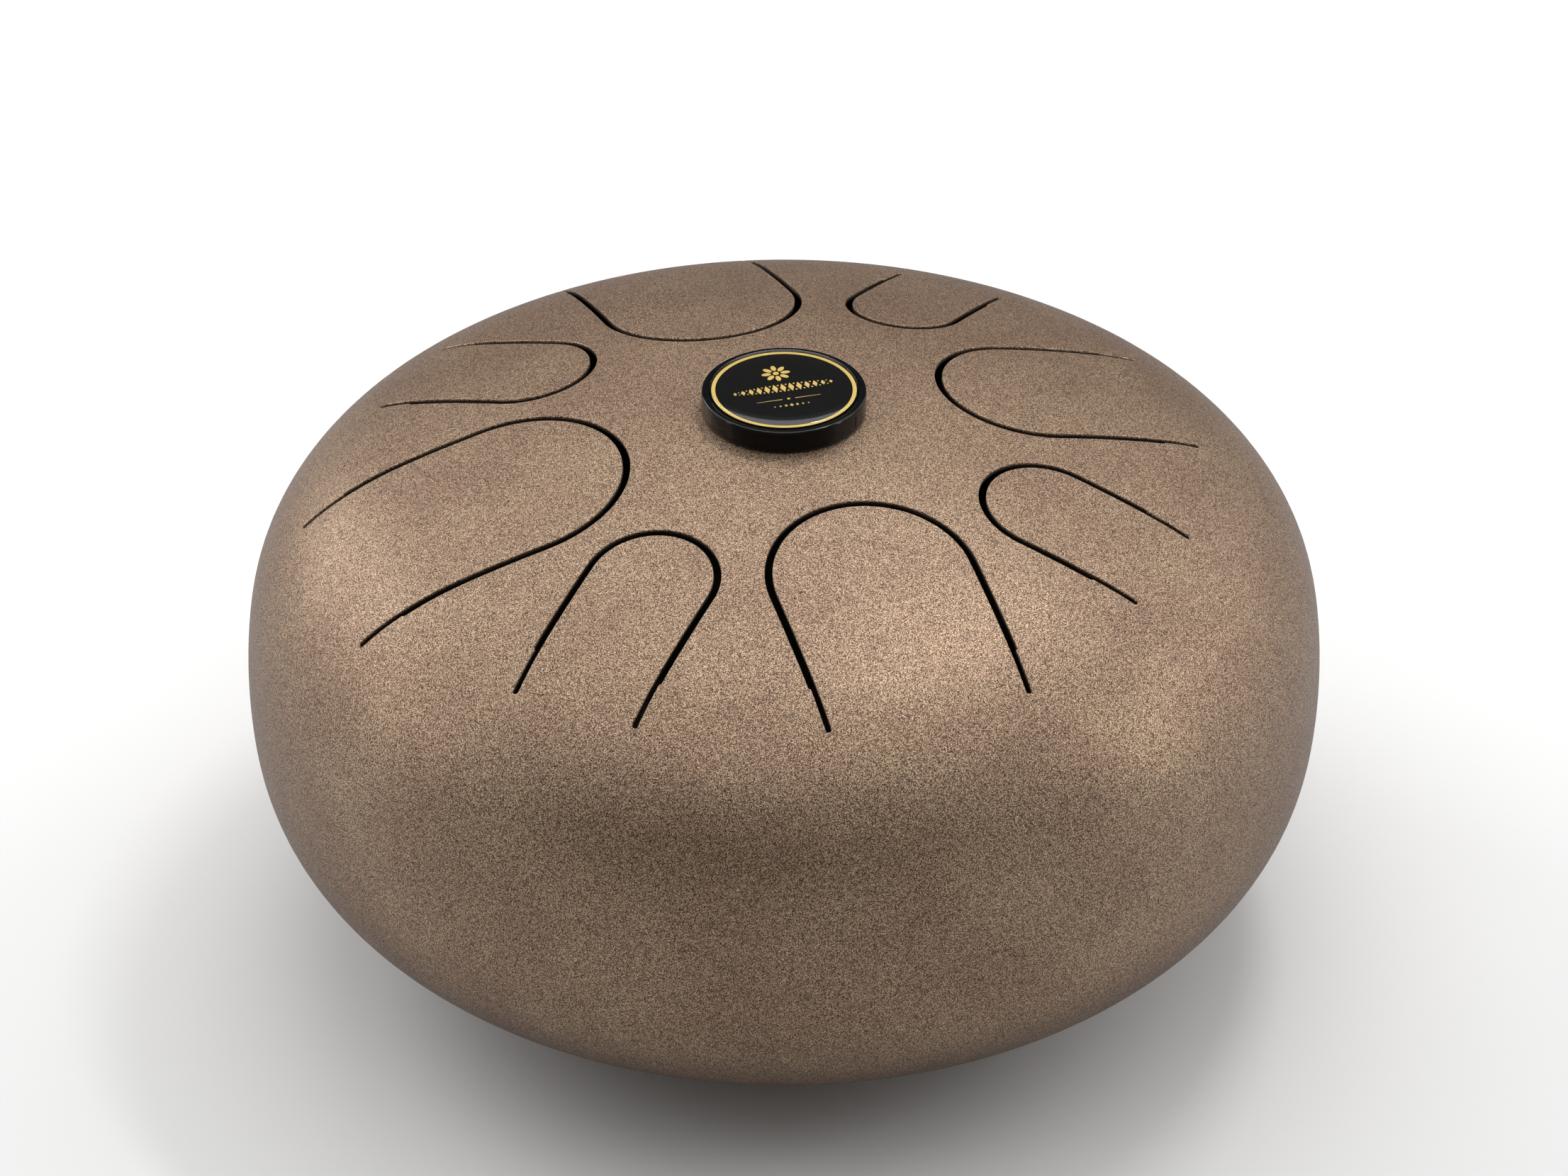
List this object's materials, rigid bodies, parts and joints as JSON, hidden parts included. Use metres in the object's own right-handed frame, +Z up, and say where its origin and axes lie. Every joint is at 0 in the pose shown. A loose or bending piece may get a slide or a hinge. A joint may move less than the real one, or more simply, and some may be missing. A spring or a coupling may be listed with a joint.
{
  "type": "steel tongue drum",
  "caption": "Round steel tongue drum: a hollow domed shell with U-cut tongues in its top, a badge on the crown, and a sound port and rubber feet underneath.",
  "frame": {"origin": "on the drum's vertical axis, on the surface that its feet stand on", "axes": "+Z up along the drum's axis; +X to the player's right, the player sits at -Y"},
  "size_m": [0.4, 0.4, 0.2268],
  "materials": {
    "powder_coat": "fine metallic bronze powder coat, satin with sparkle",
    "rubber": "matt black rubber",
    "fastener": "bright zinc plate",
    "badge_plastic": "gloss black",
    "badge_print": "black label printed with gold",
    "badge_resin": "clear cast resin",
    "magnet": "nickel plated",
    "pad": "black felt"
  },
  "bodies": {
    "drum": {"top_shell": "powder_coat", "bottom_shell": "powder_coat", "seam_weld": "powder_coat", "port_edging": "rubber", "foot_1": "rubber", "foot_2": "rubber", "foot_3": "rubber", "foot_4": "rubber", "foot_screw_1": "fastener", "foot_screw_2": "fastener", "foot_screw_3": "fastener", "foot_screw_4": "fastener", "foot_washer_1": "fastener", "foot_washer_2": "fastener", "foot_washer_3": "fastener", "foot_washer_4": "fastener", "foot_nut_1": "fastener", "foot_nut_2": "fastener", "foot_nut_3": "fastener", "foot_nut_4": "fastener"},
    "tongue_front_body": {"tongue_front": "powder_coat"},
    "tongue_front_left_body": {"tongue_front_left": "powder_coat"},
    "tongue_left_body": {"tongue_left": "powder_coat"},
    "tongue_back_left_body": {"tongue_back_left": "powder_coat"},
    "tongue_back_body": {"tongue_back": "powder_coat"},
    "tongue_back_right_body": {"tongue_back_right": "powder_coat"},
    "tongue_right_body": {"tongue_right": "powder_coat"},
    "tongue_front_right_body": {"tongue_front_right": "powder_coat"},
    "badge": {"badge_housing": "badge_plastic", "badge_label": "badge_print", "badge_dome": "badge_resin", "badge_magnet": "magnet", "badge_pad": "pad"}
  },
  "joints": [
    {"name": "tongue_front_flex", "type": "hinge", "parent": "drum", "child": "tongue_front_body", "pos_m": [0.05024, -0.14927, 0.18711], "axis": [0.9478, 0.319, 0], "range_deg": [-0.5, 0.5], "stiffness_Nm_per_rad": 39.1},
    {"name": "tongue_front_left_flex", "type": "hinge", "parent": "drum", "child": "tongue_front_left_body", "pos_m": [-0.07239, -0.14582, 0.18426], "axis": [0.8957, -0.4446, 0], "range_deg": [-0.5, 0.5], "stiffness_Nm_per_rad": 15.5},
    {"name": "tongue_left_flex", "type": "hinge", "parent": "drum", "child": "tongue_left_body", "pos_m": [-0.16302, -0.05486, 0.17831], "axis": [0.319, -0.9478, 0], "range_deg": [-0.5, 0.5], "stiffness_Nm_per_rad": 66.5},
    {"name": "tongue_back_left_flex", "type": "hinge", "parent": "drum", "child": "tongue_back_left_body", "pos_m": [-0.14108, 0.07003, 0.18711], "axis": [-0.4446, -0.8957, 0], "range_deg": [-0.5, 0.5], "stiffness_Nm_per_rad": 12.7},
    {"name": "tongue_back_flex", "type": "hinge", "parent": "drum", "child": "tongue_back_body", "pos_m": [-0.05327, 0.15828, 0.18171], "axis": [-0.9478, -0.319, 0], "range_deg": [-0.5, 0.5], "stiffness_Nm_per_rad": 52.5},
    {"name": "tongue_back_right_flex", "type": "hinge", "parent": "drum", "child": "tongue_back_right_body", "pos_m": [0.06425, 0.12943, 0.19265], "axis": [-0.8957, 0.4446, 0], "range_deg": [-0.5, 0.5], "stiffness_Nm_per_rad": 6.4},
    {"name": "tongue_right_flex", "type": "hinge", "parent": "drum", "child": "tongue_right_body", "pos_m": [0.14311, 0.04816, 0.19013], "axis": [-0.319, 0.9478, 0], "range_deg": [-0.5, 0.5], "stiffness_Nm_per_rad": 28.4},
    {"name": "tongue_front_right_flex", "type": "hinge", "parent": "drum", "child": "tongue_front_right_body", "pos_m": [0.13525, -0.06714, 0.19013], "axis": [0.4446, 0.8957, 0], "range_deg": [-0.5, 0.5], "stiffness_Nm_per_rad": 9.7},
    {"name": "badge_lift", "type": "slide", "parent": "drum", "child": "badge", "axis": [0, 0, 1], "range_m": [0, 0.03]}
  ]
}
